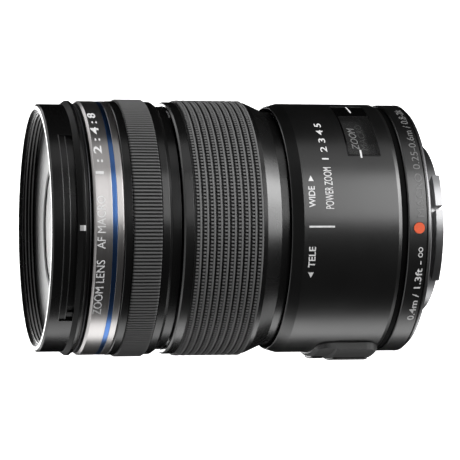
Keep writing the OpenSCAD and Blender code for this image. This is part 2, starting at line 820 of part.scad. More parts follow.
module main_tube() {
    slot_a = key_arc(main_in_r);
    color("slategray") place() difference() {
        union() {
            ring(main_in_r, main_r, spigot_z1, main_z1);
            ring(main_in_r, main_flange_r, spigot_z1, spigot_z1 + main_flange_t);
            radial_pin(sleeve_key_d, main_in_r + sink, sleeve_r - run_fit, sleeve_key_z, sleeve_key_at);
        }
        for (a = key_angles)
            arc_ring(main_in_r - cut, main_r + cut, key_z - key_arc_h, key_z + key_arc_h,
                a - slot_a, 2 * slot_a);
        for (i = [0:chassis_screw_n - 1])
            chassis_screw(i, seat_fit);
    }
}

module mode_sleeve() {
    slot_a = key_arc(sleeve_in_r);
    slot_h = key_arc_h + mode_travel;
    groove_w = sleeve_key_d + 2 * run_fit;
    groove_h = sleeve_key_d + 2 * mode_travel + 2 * spare;
    color("#4a4c50") place() difference() {
        union() {
            ring(sleeve_in_r, sleeve_r, sleeve_z0, sleeve_z1);
            ring(sleeve_in_r, sleeve_flange_r, sleeve_z1 - sleeve_flange_t, sleeve_z1);
        }
        for (a = key_angles)
            arc_ring(sleeve_in_r - cut, sleeve_r + cut, key_z - slot_h, key_z + slot_h,
                a - slot_a, 2 * slot_a);
        rotate([0, 0, sleeve_key_at])
            translate([sleeve_in_r - cut, -groove_w / 2, sleeve_key_z - groove_h / 2])
                cube([sleeve_wall + 2 * cut, groove_w, groove_h]);
    }
}

module mode_label() {
    under_window = 0.3;
    inset_a = 3;
    color("dimgray") place()
        arc_ring(sleeve_r + seat_fit, window_in_r - under_window, sleeve_z0 + sink, window_z1 - spare,
            window_at + inset_a, window_sweep - 2 * inset_a);
}

module sleeve_clip() {
    clip_fit = 0.02;
    clip_rise = 0.6;
    clip_t = 0.8;
    clip_open = 20;
    z1 = zoom_z0 - end_play;
    color("silver") place()
        arc_ring(sleeve_r + clip_fit, sleeve_r + clip_rise, z1 - clip_t, z1,
            90 + clip_open / 2, 360 - clip_open);
}

module guide_tube() {
    slot_w = follower_d + 2 * follower_fit;
    color("slategray") place() difference() {
        union() {
            ring(guide_in_r, guide_r, guide_z0, guide_z1);
            ring(guide_in_r, inner_r, guide_flange_z0, guide_z1);
        }
        for (a = variator_angles)
            straight_slot(slot_w, variator_z, variator_travel + slot_w / 2, a);
        for (a = relay_angles)
            straight_slot(slot_w, relay_z, relay_travel + slot_w / 2, a);
    }
}

module straight_slot(w, z, half_h, a) {
    rotate([0, 0, a]) translate([guide_in_r - cut, -w / 2, z - half_h])
        cube([guide_wall + 2 * cut, w, 2 * half_h]);
}

// Zoom ring

module zoom_ring() {
    lip_bevel = 0.35;
    lip_in_r = lip_r - lip_wall;
    cone_z0 = zoom_z0 + skirt_len;
    color("#3c3d40") place() difference() {
        turned([[zoom_in_r, zoom_z0], [skirt_r, zoom_z0], [skirt_r, cone_z0], [lip_r - cone_drop, cone_z0],
            [lip_r, cone_z0 + cone_len], [lip_r, zoom_grip_z0 - seat_fit],
            [zoom_seat_r, zoom_grip_z0 - seat_fit], [zoom_seat_r, zoom_grip_z1], [lip_r, zoom_grip_z1],
            [lip_r, zoom_z1 - lip_bevel], [lip_r - lip_bevel, zoom_z1], [lip_in_r, zoom_z1],
            [lip_in_r, pocket_z0], [zoom_in_r, pocket_z0]]);
        for (a = key_angles)
            rotate([0, 0, a]) translate([zoom_in_r - cut, -key_d / 2 - run_fit, key_slot_z0])
                cube([key_slot_r - zoom_in_r + cut, key_d + 2 * run_fit, key_slot_h]);
    }
}

// Rubber sleeve: each band has a plain rib at its rear and a row of teeth ahead of it
module zoom_grip() {
    root_r = zoom_grip_r - ridge_h;
    tip_below = 0.04;
    len = zoom_grip_z1 - zoom_grip_z0 - seat_fit;
    bands = floor(len / band_pitch + 0.1);
    pitch = len / bands;
    rows = [for (i = [0:bands - 1]) zoom_grip_z0 + pitch * i];
    in_r = zoom_seat_r + seat_fit;
    color("#55565a") place() union() {
        turned(concat([[in_r, zoom_grip_z0]],
            [for (z = rows) each [[zoom_grip_r, z], [zoom_grip_r, z + band_rib], [root_r, z + band_rib],
                [root_r, z + pitch]]],
            [[in_r, zoom_grip_z0 + len]]), $fn = fine);
        for (z = rows)
            translate([0, 0, z + band_rib - sink]) linear_extrude(band_teeth + sink) difference() {
                ridged(zoom_grip_r - tip_below, ridge_h - sink, tooth_n);
                circle(r = root_r - sink, $fn = fine);
            }
    }
}

// Focus ring

module focus_ring() {
    bore = journal_r + run_fit;
    rim_r = barrel_r + 0.2;
    rear_bevel = [0.5, 0.7];
    color("#232427") place()
        turned([[bore, focus_z0], [rim_r - rear_bevel[0] - sink, focus_z0],
            [rim_r - sink, focus_z0 + rear_bevel[1]], [rim_r, focus_grip_z0 - seat_fit],
            [focus_seat_r, focus_grip_z0 - seat_fit], [focus_seat_r, focus_grip_z1 + seat_fit],
            [rim_r, focus_grip_z1 + seat_fit], [rim_r, focus_z1 - edge], [rim_r - edge, focus_z1],
            [bore, focus_z1]]);
}

// Ridged sleeve outline: two points for each ridge
module ridged(r_out, h, n) {
    polygon([for (i = [0:2 * n - 1]) let (r = r_out - h * (i % 2), a = 180 * i / n) r * [cos(a), sin(a)]]);
}

module focus_grip() {
    color("#5c5d60") place() translate([0, 0, focus_grip_z0]) linear_extrude(focus_grip_z1 - focus_grip_z0)
        difference() {
            ridged(focus_grip_r, ridge_h, ridge_n);
            circle(r = focus_seat_r + seat_fit, $fn = fine);
        }
}

// Front end

module front_tube() {
    r_in = main_r + seat_fit;
    color("#232427") place()
        turned([[r_in, stop_z0], [stop_r, stop_z0], [stop_r, stop_z1], [journal_r, stop_z1],
            [journal_r, name_z1], [nose_r, name_z1], [nose_r, nose_z1], [r_in, nose_z1]]);
}

module name_ring() {
    groove_z0 = name_z0 + stripe_at;
    color("silver") place()
        turned([[name_r - name_wall, name_z0], [name_r - edge, name_z0], [name_r, name_z0 + edge],
            [name_r, groove_z0], [name_r - stripe_t, groove_z0], [name_r - stripe_t, groove_z0 + stripe_w],
            [name_r, groove_z0 + stripe_w], [name_r, name_z1 - name_bevel],
            [name_r - name_bevel, name_z1], [name_r - name_wall, name_z1]]);
}

module stripe_ring() {
    stripe_fit = 0.02;
    stripe_below = 0.03;
    color("royalblue") place()
        ring(name_r - stripe_t + stripe_fit, name_r - stripe_below, name_z0 + stripe_at + stripe_fit,
            name_z0 + stripe_at + stripe_w - stripe_fit);
}

module filter_ring() {
    lead_r = filter_d / 2 + 0.15;
    lead_z = rim_z - 0.9;
    minor_r = filter_d / 2 - filter_thread;
    ledge_r = inner_r + 0.4;
    seat_r = retainer_r + seat_fit;
    lip_top = collar_r + collar_lip;
    lip_flat = 0.5;
    lip_z = collar_z0 + collar_lip;
    tube_r = nose_r + seat_fit;
    notch_lap = 0.3;
    color("#202124") place() difference() {
        turned([[tube_r, collar_z0], [collar_r + sink, collar_z0], [lip_top, lip_z],
            [lip_top, lip_z + lip_flat], [collar_r, hood_z0 - sink], [collar_r, rim_z - rim_bevel],
            [collar_r - rim_bevel, rim_z], [lead_r, rim_z], [lead_r, lead_z], [minor_r, lead_z],
            [minor_r, thread_z0], [seat_r, thread_z0], [seat_r, retainer_z0], [ledge_r, retainer_z0],
            [ledge_r, nose_z1], [tube_r, nose_z1]]);
        for (side = [90, 270]) {
            arc_ring(collar_r - hood_depth, collar_r + cut, hood_z0, hood_step_z,
                side - hood_sweep / 2, hood_sweep);
            arc_ring(collar_r - hood_depth / 2, collar_r + cut, hood_step_z - sink, hood_z1,
                side - hood_sweep / 2, hood_sweep);
            arc_ring(collar_r - hood_depth - notch_lap, collar_r + cut,
                hood_z0 - notch_lap, hood_step_z - spare,
                side - hood_notch_at - hood_notch_sweep / 2, hood_notch_sweep);
        }
    }
}

module front_retainer() {
    rim_w = 0.6;
    dish = 0.15;
    lip_w = 0.35;
    bore = front_bore_r + seat_fit;
    color("#17181a") place()
        turned([[bore, retainer_z0], [retainer_r, retainer_z0], [retainer_r, retainer_z1],
            [retainer_r - rim_w, retainer_z1], [bore + lip_w, retainer_z1 - dish],
            [bore, retainer_z0 + retainer_t / 2]]);
}

module front_cell() {
    inner_wall = 1.3;
    outer_wall = 0.9;
    front_t = 3;
    stop_w = 1.2;
    hub_r = front_bore_r + inner_wall;
    skirt_in_r = inner_r - outer_wall;
    stop_r_in = second_bore_r - stop_w;
    hub_z0 = second_glass_z - cell_floor_t;
    color("#2a2b2e") place()
        turned([[skirt_in_r, cell_z0], [inner_r, cell_z0], [inner_r, cell_z1], [front_bore_r, cell_z1],
            [front_bore_r, glass_seat_z], [second_bore_r, glass_seat_z], [second_bore_r, second_glass_z],
            [stop_r_in, second_glass_z], [stop_r_in, hub_z0], [hub_r, hub_z0], [hub_r, cell_z1 - front_t],
            [skirt_in_r, cell_z1 - front_t]]);
}

module front_glass() {
    color("lightblue") place()
        glass(front_glass_d, glass_seat_z, retainer_z1 - seat_fit, front_bulge, front_hollow);
}

module second_glass() {
    color("lightblue") place()
        glass(second_glass_d, second_glass_z, second_glass_z + second_t, second_bulge, 0);
}

// Zoom groups and iris

module cam_barrel() {
    sector_a = zoom_turn + 16;
    tooth_count = floor(2 * sector_a / 360 * sector_n);
    tooth_step = 360 / sector_n;
    half_step = (tooth_count % 2 == 0) ? 0 : tooth_step / 2;
    first_a = zoom_motor_at - (tooth_count - 1) / 2 * tooth_step + half_step;
    foot_r = gear_relief_r + gear_inset;
    foot_half = tooth_half * 1.5;
    tip_half = tooth_half * 0.55;
    color("darkgray") place() difference() {
        union() {
            turned([[gear_relief_r, cam_z0], [cam_r, cam_z0], [cam_r, cam_z1], [cam_in_r, cam_z1],
                [cam_in_r, cam_z0 + gear_len], [gear_relief_r, cam_z0 + gear_len]]);
            for (i = [0:tooth_count - 1])
                rotate([0, 0, first_a + i * tooth_step])
                    translate([0, 0, cam_z0 + gear_inset]) linear_extrude(gear_len - 2 * gear_inset)
                        polygon([[foot_r, -foot_half], [foot_r, foot_half], [sector_tip_r, tip_half],
                            [sector_tip_r, -tip_half]]);
        }
        for (a = variator_angles)
            cam_slot(variator_rate, variator_z, a);
        for (a = relay_angles)
            cam_slot(relay_rate, relay_z, a);
        for (a = key_angles)
            radial_pin(key_d + 2 * seat_fit, cam_in_r - cut, cam_r + cut, key_z, a);
    }
}

module zoom_keys() {
    color("goldenrod") place() for (a = key_angles)
        radial_pin(key_d, cam_in_r + sink, key_tip_r, key_z, a);
}

module follower_pins(angles, z) {
    for (a = angles)
        radial_pin(follower_d, group_r - pin_depth, cam_r - edge, z, a);
}

module variator_pins() {
    color("goldenrod") place() follower_pins(variator_angles, variator_z);
}

module relay_pins() {
    color("goldenrod") place() follower_pins(relay_angles, relay_z);
}

// Lens frame: an outer rim that slides in the guide tube, a web and a hub for the glass
module group_frame(len, z, glass_d, angles) {
    hub_r = glass_d / 2 + 1.3;
    bore = glass_d / 2 + seat_fit;
    ledge_r = glass_d / 2 - ledge;
    rim_r = group_r - frame_rim_t;
    web = 0.8;
    z0 = z - len / 2;
    z1 = z + len / 2;
    hub_z1 = z1 - 0.5;
    difference() {
        turned([[rim_r, z0], [group_r, z0], [group_r, z1], [rim_r, z1], [rim_r, z + web], [hub_r, z + web],
            [hub_r, hub_z1], [bore, hub_z1], [bore, z0 + frame_seat_z], [ledge_r, z0 + frame_seat_z],
            [ledge_r, z0 + ledge_t], [hub_r, z0 + ledge_t], [hub_r, z - web], [rim_r, z - web]]);
        for (a = angles)
            radial_pin(follower_d + 2 * rod_hole_fit, group_r - pin_depth - rod_hole_fit,
                group_r + cut, z, a);
    }
}

module variator_frame() {
    color("#2a2b2e") place() group_frame(variator_len, variator_z, variator_glass_d, variator_angles);
}

module variator_glass() {
    z0 = variator_z - variator_len / 2 + frame_seat_z;
    color("lightblue") place()
        glass(variator_glass_d, z0, z0 + variator_t, variator_bulge, variator_hollow);
}

module relay_frame() {
    color("#2a2b2e") place() group_frame(relay_len, relay_z, relay_glass_d, relay_angles);
}

module relay_glass() {
    z0 = relay_z - relay_len / 2 + frame_seat_z;
    color("lightblue") place() glass(relay_glass_d, z0, z0 + relay_t, relay_bulge, 0);
}

module iris_base() {
    edge_in = 0.4;
    color("dimgray") place() union() {
        ring(iris_open_r, group_r - edge_in, iris_z0, iris_z0 + iris_base_t);
        for (i = [0:blade_n - 1])
            axial_pin(pivot_d, pivot_r, 360 / blade_n * i, iris_z0 + spare, iris_ring_z0 - seat_fit);
    }
}

// Drive ring: its radial slots take the drive pins on the blades' tails
module iris_ring() {
    color("silver") place() difference() {
        ring(drive_r - iris_ring_w, iris_outer_r, iris_ring_z0, iris_ring_z0 + iris_ring_t);
        for (i = [0:blade_n - 1])
            rotate([0, 0, 360 / blade_n * i])
                translate([drive_slot_r0, -drive_pin_d / 2 - drive_slot_fit, iris_ring_z0 - cut])
                    cube([drive_slot_r1 - drive_slot_r0, drive_pin_d + 2 * drive_slot_fit,
                        iris_ring_t + 2 * cut]);
    }
}

module iris_blade(i) {
    z = blade_z0 + blade_level * (i - 1);
    tail_w = 1.6;
    root_a = 4;
    pivot_fit = 0.08;
    blade_mid = iris_open_r + blade_w / 2;
    color("#1b1b1d") place() rotate([0, 0, 360 / blade_n * (i - 1)]) difference() {
        union() {
            arc_ring(iris_open_r, iris_open_r + blade_w, z, z + blade_t, -root_a, blade_sweep);
            translate([blade_mid, -tail_w / 2, z]) cube([drive_r - blade_mid, tail_w, blade_t]);
            axial_pin(tail_w, drive_r, 0, z, z + blade_t);
            axial_pin(drive_pin_d, drive_r, 0, z, iris_ring_z0 + iris_ring_t);
        }
        axial_pin(pivot_d + 2 * pivot_fit, pivot_r, 0, z - cut, z + cut);
    }
}

// Rear frame, drives and focus group

module rear_frame() {
    tube_r = rear_glass_d / 2 + 1.2;
    tube_z0 = -2.5;
    bore = rear_glass_d / 2 + seat_fit;
    rim_r = base_in_r - seat_fit;
    color("#2a2b2e") place() difference() {
        turned([[bore, tube_z0], [tube_r, tube_z0], [tube_r, frame_z0], [rim_r, frame_z0],
            [rim_r, frame_z1], [bore - ledge, frame_z1], [bore - ledge, frame_z1 - ledge_t],
            [bore, frame_z1 - ledge_t]]);
        for (a = rod_angles)
            axial_pin(rod_d + 2 * rod_hole_fit, rod_r, a, frame_z0 + ledge_t, frame_z1 + cut);
    }
}

module rear_glass() {
    color("lightblue") place() mirror([0, 0, 1])
        glass(rear_glass_d, ledge_t - frame_z1, rear_reach, rear_bulge, 0);
}

module main_board() {
    board_in = rear_glass_d / 2 + 1.6;
    board_out = base_floor_in_r - 0.5;
    chip = [3.2, 3.6, 1];
    chip_in = 0.6;
    color("darkgreen") place() union() {
        ring(board_in, board_out, flange_t, frame_z0);
        for (a = [20, 80, 150, 205, 325])
            rotate([0, 0, a]) translate([board_in + chip_in, -chip[1] / 2, flange_t + sink - chip[2]])
                cube(chip);
    }
}

module guide_rods() {
    color("silver") place() for (a = rod_angles)
        axial_pin(rod_d, rod_r, a, frame_z0 + ledge_t + sink, plate_z1 - spare - sink);
}

module rod_plate() {
    color("#2a2b2e") place() difference() {
        ring(focus_hub_r + plate_gap, inner_r, plate_z0, plate_z1);
        for (a = rod_angles)
            axial_pin(rod_d + 2 * rod_hole_fit, rod_r, a, plate_z0 - cut, plate_z1 - spare);
        axial_pin(lead_screw_d + 2 * run_fit, lead_screw_r, focus_motor_at, plate_z0 - cut, plate_z1 + cut);
        axial_pin(shaft_d + 2 * run_fit, pinion_at_r, zoom_motor_at, plate_z0 - cut, plate_z1 + cut);
    }
}

module focus_motor() {
    color("silver") place() union() {
        axial_pin(focus_motor_d, lead_screw_r, focus_motor_at, frame_z1, frame_z1 + focus_motor_len);
        axial_pin(focus_motor_d / 2, lead_screw_r, focus_motor_at, frame_z1, focus_motor_z1);
    }
}

module lead_screw() {
    color("goldenrod") place()
        axial_pin(lead_screw_d, lead_screw_r, focus_motor_at, focus_motor_z1 + end_play, plate_z1 - spare);
}

module focus_frame() {
    z0 = focus_cell_z0;
    z1 = z0 + focus_len_z;
    bore = focus_glass_d / 2 + seat_fit;
    arm_w = 4;
    arm_in = 0.5;
    color("#2a2b2e") place() difference() {
        union() {
            turned([[bore - ledge, z0], [focus_hub_r, z0], [focus_hub_r, z1], [bore, z1],
                [bore, z0 + ledge_t], [bore - ledge, z0 + ledge_t]]);
            for (a = rod_angles)
                rotate([0, 0, a]) frame_arm(rod_r, arm_w, z0 + arm_in, z1 - arm_in);
            rotate([0, 0, focus_motor_at]) frame_arm(lead_screw_r, arm_w, focus_arm_z0, z1);
        }
        for (a = rod_angles)
            axial_pin(rod_d + 2 * run_fit, rod_r, a, z0 - cut, z1 + cut);
        axial_pin(lead_screw_d + 2 * run_fit, lead_screw_r, focus_motor_at, z0 - cut, z1 + cut);
    }
}

// Arm from the focus hub out to a rod, with a round end
module frame_arm(r, w, z0, z1) {
    root_r = focus_hub_r - 0.6;
    translate([root_r, -w / 2, z0]) cube([r - root_r, w, z1 - z0]);
    translate([r, 0, z0]) cylinder(d = w, h = z1 - z0, $fn = 32);
}

module focus_glass() {
    z0 = focus_cell_z0 + ledge_t;
    color("lightblue") place() glass(focus_glass_d, z0, z0 + focus_t, focus_bulge, 0);
}

module zoom_motor() {
    rear_gap = 0.3;
    plate_seat = 0.01;
    color("silver") place()
        axial_pin(zoom_motor_d, pinion_at_r, zoom_motor_at, spigot_z1 + rear_gap, plate_z0 - plate_seat);
}

module zoom_pinion() {
    tip_r = pinion_r + addendum;
    root_r = pinion_r - addendum - root_gap;
    root_half = 0.32;
    tip_half = 0.09;
    step = 360 / pinion_n;
    outline = [[root_r, -root_half], [tip_r, -tip_half], [tip_r, tip_half], [root_r, root_half]];
    color("goldenrod") place() rotate([0, 0, zoom_motor_at]) translate([pinion_at_r, 0, 0]) union() {
        translate([0, 0, plate_z0 + sink]) cylinder(d = shaft_d, h = cam_z0 - plate_z0, $fn = 32);
        translate([0, 0, cam_z0]) linear_extrude(gear_len - gear_inset)
            polygon([for (i = [0:pinion_n - 1], p = outline)
                p[0] * [cos(step * (i + p[1])), sin(step * (i + p[1]))]]);
    }
}

bayonet_mount();
mount_screws();
contact_block();
contact_pins();
mount_base();
mount_dot();
barrel_seal();
rear_barrel();
mode_window();
button_pod();
function_button();
macro_button();
main_tube();
chassis_screws();
guide_tube();
front_tube();
filter_ring();
name_ring();
stripe_ring();
front_retainer();
front_glass();
second_glass();
front_cell();
rear_frame();
rear_glass();
rear_baffle();
main_board();
focus_motor();
guide_rods();
rod_plate();
lead_screw();
focus_frame();
focus_glass();
zoom_motor();
zoom_pinion();
focus_ring();
focus_grip();
mode_sleeve();
mode_label();
sleeve_clip();
zoom_ring();
zoom_grip();
cam_barrel();
zoom_keys();
variator_frame();
variator_glass();
variator_pins();
relay_frame();
relay_glass();
relay_pins();
iris_base();
iris_ring();
for (i = [1:blade_n])
    iris_blade(i);
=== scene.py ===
"""Looks of a zoom lens: finishes, fine grips, markings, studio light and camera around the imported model.

The optical axis lies along Y with the mount flange at 0 and the front at -Y. The index mark is up (+Z) and
the button pod at +X. Places on the lens are given as u, the distance ahead of the flange, a radius r, both
in mm, and theta, the angle in degrees from the index mark towards -X.
"""
import json
import math

import bmesh
import bpy
from mathutils import Matrix, Vector


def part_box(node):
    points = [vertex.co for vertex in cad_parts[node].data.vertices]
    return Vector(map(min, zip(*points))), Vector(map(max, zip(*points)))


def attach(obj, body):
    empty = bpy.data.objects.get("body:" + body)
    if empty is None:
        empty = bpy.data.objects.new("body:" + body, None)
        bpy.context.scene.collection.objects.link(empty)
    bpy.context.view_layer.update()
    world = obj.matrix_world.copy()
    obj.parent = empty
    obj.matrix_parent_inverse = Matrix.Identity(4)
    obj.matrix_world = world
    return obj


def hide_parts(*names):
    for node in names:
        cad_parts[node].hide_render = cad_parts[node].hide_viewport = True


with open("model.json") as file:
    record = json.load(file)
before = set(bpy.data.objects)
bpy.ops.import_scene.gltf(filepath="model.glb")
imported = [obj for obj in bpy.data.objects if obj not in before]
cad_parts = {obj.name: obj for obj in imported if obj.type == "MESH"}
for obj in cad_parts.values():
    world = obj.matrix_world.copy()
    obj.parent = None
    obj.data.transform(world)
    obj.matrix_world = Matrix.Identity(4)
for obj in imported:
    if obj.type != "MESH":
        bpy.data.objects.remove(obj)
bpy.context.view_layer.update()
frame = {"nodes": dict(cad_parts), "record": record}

MM = 0.001
IMAGE_PX = 460
SENSOR_MM = 36.0

# Camera, fitted to the outline in the photograph
CAMERA_AT = (0.0, -0.15977, 0.55136)
CAMERA_TILT = 12.367
FOCAL_PX = 2519.92
CENTRE_UP_PX = 2.0

# Studio
FLOOR_Z = -0.26
FLOOR_SIZE = 10.0
LENS_MIDDLE = Vector((0.0, -0.042, 0.0))
WORLD_LEVEL = 0.04

# Black cards: name, outer and inner edge as (x, z), and ends in y, in metres
FLAGS = [
    ("flag_left", (-0.30, 0.05), (0.0, -0.2), -0.065, 0.6),
    ("flag_right", (0.30, -0.153), (0.0, -0.2), -0.065, 0.6),
    ("flag_left_front", (-0.30, 0.05), (-0.04, -0.1667), -0.12, -0.065),
    ("flag_right_front", (0.30, -0.153), (0.04, -0.1937), -0.12, -0.065),
]

# Lamps: name, azimuth towards -X and tilt to the rear in degrees, distance and size in metres, radiance
SOFT_BOXES = [
    ("front_low", 180.0, -28.0, 0.236, (0.14, 0.2), 5.0),
    ("key_box", 28.5, 41.5, 0.8, (0.63, 0.72), 6.0),
    ("rear_fill", 66.0, 50.0, 0.8, (0.5, 0.5), 3.0),
    ("left_fill", 75.0, 12.0, 0.8, (0.5, 0.5), 0.6),
    ("side_strip", -103.0, 14.0, 0.6, (0.26, 0.36), 1.15),
    ("front_card", 0.0, -80.0, 0.9, (1.6, 0.8), 0.9),
]

# Grips, in mm. A ridge is drawn through points of (place, height), as shares of its pitch and full height.
RIDGE_COUNT = 228
ZOOM_GRIP = {"u0": 37.62, "u1": 52.62, "r_in": 27.85, "root": 28.0, "tip": 28.43, "bands": 10}
ZOOM_TOOTH = [(0.0, 1.0), (0.46, 1.0), (0.56, 0.0), (0.9, 0.0)]
FOCUS_GRIP = {"u0": 59.55, "u1": 65.75, "r_in": 27.95, "root": 28.1, "tip": 28.5}
FOCUS_RIDGE = [(0.0, 1.0), (0.42, 1.0), (0.58, 0.0), (0.84, 0.0)]

# One band of the zoom grip: shares of its rib and its comb, then lengths of walls and bevels and the
# levels of the comb, in mm
ZOOM_BAND = {"rib": 0.28, "comb": 0.44, "wall": 0.02, "bevel": 0.08, "bevel_drop": 0.06,
             "foot": 0.08, "less": 0.12, "slope": 0.1, "slope_drop": 0.08}

# Ends of the focus grip's ridges: height of the first step as a share, lengths in mm
FOCUS_END = {"share": 0.45, "step": 0.05, "bevel": 0.3, "sunk": 0.02}

# Angles of the points on plain rings
RING_ANGLES = [2.0 * i for i in range(180)]

# Radius at which sharp edges look rounded, in mm
EDGE_MM = 0.15
EDGE_SAMPLES = 4

# Printed marks: how far they stand above and reach below their surface, and the radii they lie on, in mm
PROUD, SUNK = 0.04, 0.05
BARREL_R, BASE_R, NAME_R, LIP_R, LABEL_R, WINDOW_R = 27.9, 27.8, 28.05, 28.1, 26.2, 27.78

# Front glass: radii of its flat dome and of the hollow behind it, and the flat rim round the hollow, in mm
DOME_R, HOLLOW_R, GLASS_RIM = 150.0, 24.0, 1.5
GLASS_STEPS, GLASS_RINGS = 96, 12
GLASS_SHARP = 30.0

# Seam behind the front collar, and a matt black line near the rear edge of the base that is a painted shade
# of a groove there, as ring sections of (u, r), in mm
SEAM_COVER = [(74.2, 27.48), (74.2, 27.59), (74.54, 27.25), (74.54, 27.1)]
SEAM_BEAD = [(74.74, 26.9), (74.74, 27.38), (74.8, 27.48), (74.88, 27.52), (74.96, 27.48), (75.02, 27.38),
             (75.02, 26.9)]
BASE_GROOVE_SHADE = [(1.05, 27.7), (1.05, 27.83), (1.3, 27.83), (1.3, 27.7)]

# Matt black sheet on the slope of the collar's lip, a painted shade that keeps the slope dark, as a ring
# section of (u, r), in mm
LIP_SHADE_COVER = [(76.44, 27.98), (76.44, 28.09), (77.44, 27.29), (77.44, 27.18)]

# Painted highlights along the edges of the two recesses for a hood: lines round the axis as (u, r, width)
# and the ends, in mm;
# half and wide of the ends are angles
RECESS_EDGES = {"front": (80.42, 27.3, 0.2), "step": (79.0, 27.0, 0.2)}
RECESS_ENDS = {"u0": 77.6, "u1": 80.42, "r": 27.3, "half": 46.7, "wide": 0.5}
RECESS_SIDES = {"top": 0.0, "bottom": 180.0}

# Light grey rim round the function button, a painted highlight of its polished chamfer: its ends in u, half
# width, corner, own width and radius, in mm
BUTTON_RIM = {"u0": 8.5, "u1": 16.3, "half": 4.9, "corner": 0.7, "wide": 0.25, "r": 29.8}
BUTTON_THETA = -90.0
CORNER_STEP = 15

# Filter thread, in mm, and points along one pitch
THREAD = {"u0": 79.45, "u1": 82.05, "r": 25.64, "wall": 0.03, "depth": 0.3, "pitch": 0.75, "points": 8}

# Lines and plates: name, ends in u, span in theta, r and ink
PLATES = [
    ("index_line", (21.93, 27.57), (0.2, 1.0), BARREL_R, "white"),
    ("window_mask", (10.5, 17.7), (62.5, 75.8), WINDOW_R, "gloss"),
    ("window_front_edge", (17.35, 17.78), (34.1, 62.5), WINDOW_R, "gloss"),
    ("window_near_edge", (10.45, 17.35), (34.05, 35.1), WINDOW_R, "gloss"),
    ("window_index_near", (14.55, 14.95), (33.1, 37.4), BARREL_R, "white"),
    ("window_index_far", (13.8, 14.15), (66.5, 75.5), WINDOW_R + PROUD, "white"),
    ("hood_mark_back", (76.0, 76.4), (-1.2, 1.2), LIP_R, "white"),
]

# Front half of the hood mark, which lies on the slope of the lip
HOOD_MARK = {"us": (76.4, 77.15), "span": (-1.2, 1.2), "drop": 0.6}

# Arrows: name and corners as (u, theta)
ARROWS = [
    ("arrow_wide", [(26.15, 21.2), (27.35, 21.2), (26.75, 23.9)]),
    ("arrow_tele", [(26.2, -20.0), (27.4, -20.0), (26.8, -22.6)]),
]

# Words: name, text, u of the feet, height, span in theta, r, boldness, slant, ink and body.
# The built-in font's M fills up when it is made bolder, so words with an M stay plain.
WORDS = [
    ("word_wide", "WIDE", 26.05, 1.45, (9.1, 18.8), BARREL_R, 0.015, 0.0, "white", "barrel"),
    ("word_tele", "TELE", 26.05, 1.5, (-17.7, -8.3), BARREL_R, 0.015, 0.0, "white", "barrel"),
    ("words_power", "POWER ZOOM", 22.0, 1.8, (8.5, 28.0), BARREL_R, 0.0, 0.0, "white", "barrel"),
    ("words_scale", "1 2 3 4 5", 22.2, 1.5, (32.0, 55.0), BARREL_R, 0.01, 0.0, "white", "barrel"),
    ("words_macro", "MACRO 0.25-0.6m / 0.8-2ft", 1.9, 1.6, (5.0, 71.0), BASE_R, 0.0, 0.0, "pale", "barrel"),
    ("words_range", "0.4m / 1.3ft -", 1.9, 1.5, (-46.5, -15.0), BASE_R, 0.01, 0.0, "white", "barrel"),
    ("word_infinity", "OO", 2.1, 1.0, (-13.2, -8.6), BASE_R, 0.01, 0.0, "white", "barrel"),
    ("label_zoom", "ZOOM", 14.2, 1.6, (40.5, 57.0), LABEL_R, 0.0, 0.25, "white", "mode_sleeve"),
    ("label_macro", "MACRO", 12.3, 1.5, (40.5, 60.0), LABEL_R, 0.0, 0.0, "pale", "mode_sleeve"),
    ("words_zoom_lens", "ZOOM LENS", 71.75, 1.8, (-41.0, -14.0), NAME_R, 0.0, 0.0, "white", "barrel"),
    ("words_af_macro", "AF MACRO", 71.75, 1.8, (-9.0, 14.0), NAME_R, 0.0, 0.0, "white", "barrel"),
    ("words_scale_front", "1 : 2 : 4 : 8", 71.75, 1.8, (24.0, 62.0), NAME_R, 0.02, 0.0, "white", "barrel"),
]
LETTER_CURVE_STEPS = 4

# Noise: scales in cells per metre, stretch of turned marks along the axes, and the part of its range in use
NOISE = {"patchy": 90.0, "grain": 2600.0, "rubber_patchy": 300.0, "rubber_tint": 160.0,
         "rubber_grain": 4200.0, "turning": 500.0, "smear": 140.0, "glass_haze": 60.0, "clear_haze": 120.0,
         "wear": 900.0}
NOISE_DETAIL = 4.0
EVEN, TURNED = (1.0, 1.0, 1.0), (0.06, 4.0, 0.06)
NOISE_LOW, NOISE_HIGH = 0.3, 0.7

# Relief of grain and of turned marks, in mm
GRAIN_DEPTH, TURNED_DEPTH = 0.01, 0.005


def at(u, r, theta):
    """Point on the lens in metres."""
    a = math.radians(theta)
    return Vector((-r * math.sin(a), -u, r * math.cos(a))) * MM


# Materials

def set_inputs(node, values):
    """Sets constant inputs by name, with _ for a space."""
    for key, value in values.items():
        node.inputs[key.replace("_", " ")].default_value = value


def new_node(mat, kind, **values):
    node = mat.node_tree.nodes.new(kind)
    set_inputs(node, values)
    return node


def surface(mat):
    return mat.node_tree.nodes["Principled BSDF"]


def link(mat, source, target):
    mat.node_tree.links.new(source, target)


def shader(name, color, roughness, metallic=0.0, **values):
    """Material with one principled shader, whose constant sockets are set directly."""
    mat = bpy.data.materials.new(name)
    mat.use_nodes = True
    values.update(Base_Color=(*color, 1.0), Roughness=roughness, Metallic=metallic)
    set_inputs(surface(mat), values)
    return mat


def noise(mat, kind, stretch=EVEN):
    """Noise factor on the object's own coordinates, stretched along an axis for turned marks."""
    coords = new_node(mat, "ShaderNodeTexCoord")
    mapping = new_node(mat, "ShaderNodeMapping", Scale=stretch)
    tex = new_node(mat, "ShaderNodeTexNoise", Scale=NOISE[kind], Detail=NOISE_DETAIL)
    link(mat, coords.outputs["Object"], mapping.inputs["Vector"])
    link(mat, mapping.outputs["Vector"], tex.inputs["Vector"])
    return tex.outputs["Fac"]


